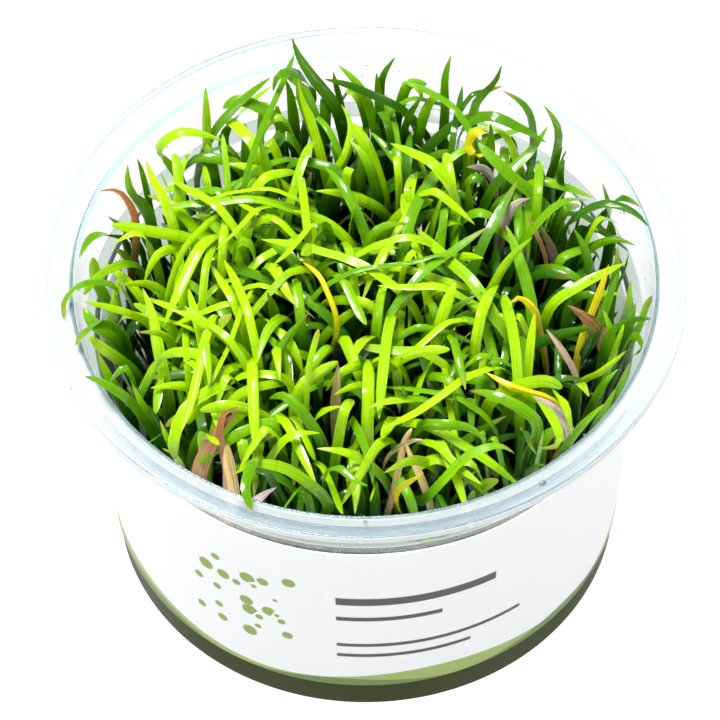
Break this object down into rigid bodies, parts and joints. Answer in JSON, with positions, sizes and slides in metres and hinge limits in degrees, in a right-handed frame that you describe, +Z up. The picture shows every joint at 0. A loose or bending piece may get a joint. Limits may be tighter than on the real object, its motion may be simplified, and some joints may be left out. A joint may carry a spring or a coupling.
{
  "type": "potted lilaeopsis brasiliensis",
  "caption": "Lidless round clear plastic cup with a flared rim and a white wrap-round label, densely planted with a mat of short arching grass-like leaves rooted in gel.",
  "frame": {"origin": "middle of the cup's underside, in the plane that its foot ring rests on", "axes": "+Z up along the cup's axis, -Y towards the front of the label, +X to the viewer's right as the label is seen"},
  "size_m": [0.1, 0.1, 0.067],
  "materials": {
    "clear_plastic": "gloss",
    "label_white": "satin",
    "gel_olive": "satin",
    "leaf_green": "gloss",
    "leaf_withered": "matte"
  },
  "bodies": {
    "root": {"cup": "clear_plastic", "gel": "gel_olive", "label": "label_white", "tuft_01": "leaf_green", "tuft_02": "leaf_green", "tuft_03": "leaf_green", "tuft_04": "leaf_green", "tuft_05": "leaf_green", "tuft_06": "leaf_green", "tuft_07": "leaf_green", "tuft_08": "leaf_green", "tuft_09": "leaf_green", "tuft_10": "leaf_green", "tuft_11": "leaf_green", "tuft_12": "leaf_green", "tuft_13": "leaf_green", "tuft_14": "leaf_green", "tuft_15": "leaf_green", "tuft_16": "leaf_green", "tuft_17": "leaf_green", "tuft_18": "leaf_green", "tuft_19": "leaf_green", "tuft_20": "leaf_green", "tuft_21": "leaf_green", "tuft_22": "leaf_green", "tuft_23": "leaf_green", "tuft_24": "leaf_green", "tuft_25": "leaf_green", "tuft_26": "leaf_green", "tuft_27": "leaf_green", "tuft_28": "leaf_green", "tuft_29": "leaf_green", "tuft_30": "leaf_green", "tuft_31": "leaf_green", "tuft_32": "leaf_green", "tuft_33": "leaf_green", "tuft_34": "leaf_green", "tuft_35": "leaf_green", "tuft_36": "leaf_green", "tuft_37": "leaf_green", "tuft_38": "leaf_green", "tuft_39": "leaf_green", "tuft_40": "leaf_green", "tuft_41": "leaf_green", "tuft_42": "leaf_green", "tuft_43": "leaf_green", "tuft_44": "leaf_green", "tuft_45": "leaf_green", "tuft_46": "leaf_green", "tuft_47": "leaf_green", "tuft_48": "leaf_green", "tuft_49": "leaf_green", "tuft_50": "leaf_green", "tuft_51": "leaf_green", "tuft_52": "leaf_green", "withered_1": "leaf_withered", "withered_2": "leaf_withered", "withered_3": "leaf_withered", "withered_4": "leaf_withered"}
  },
  "joints": []
}
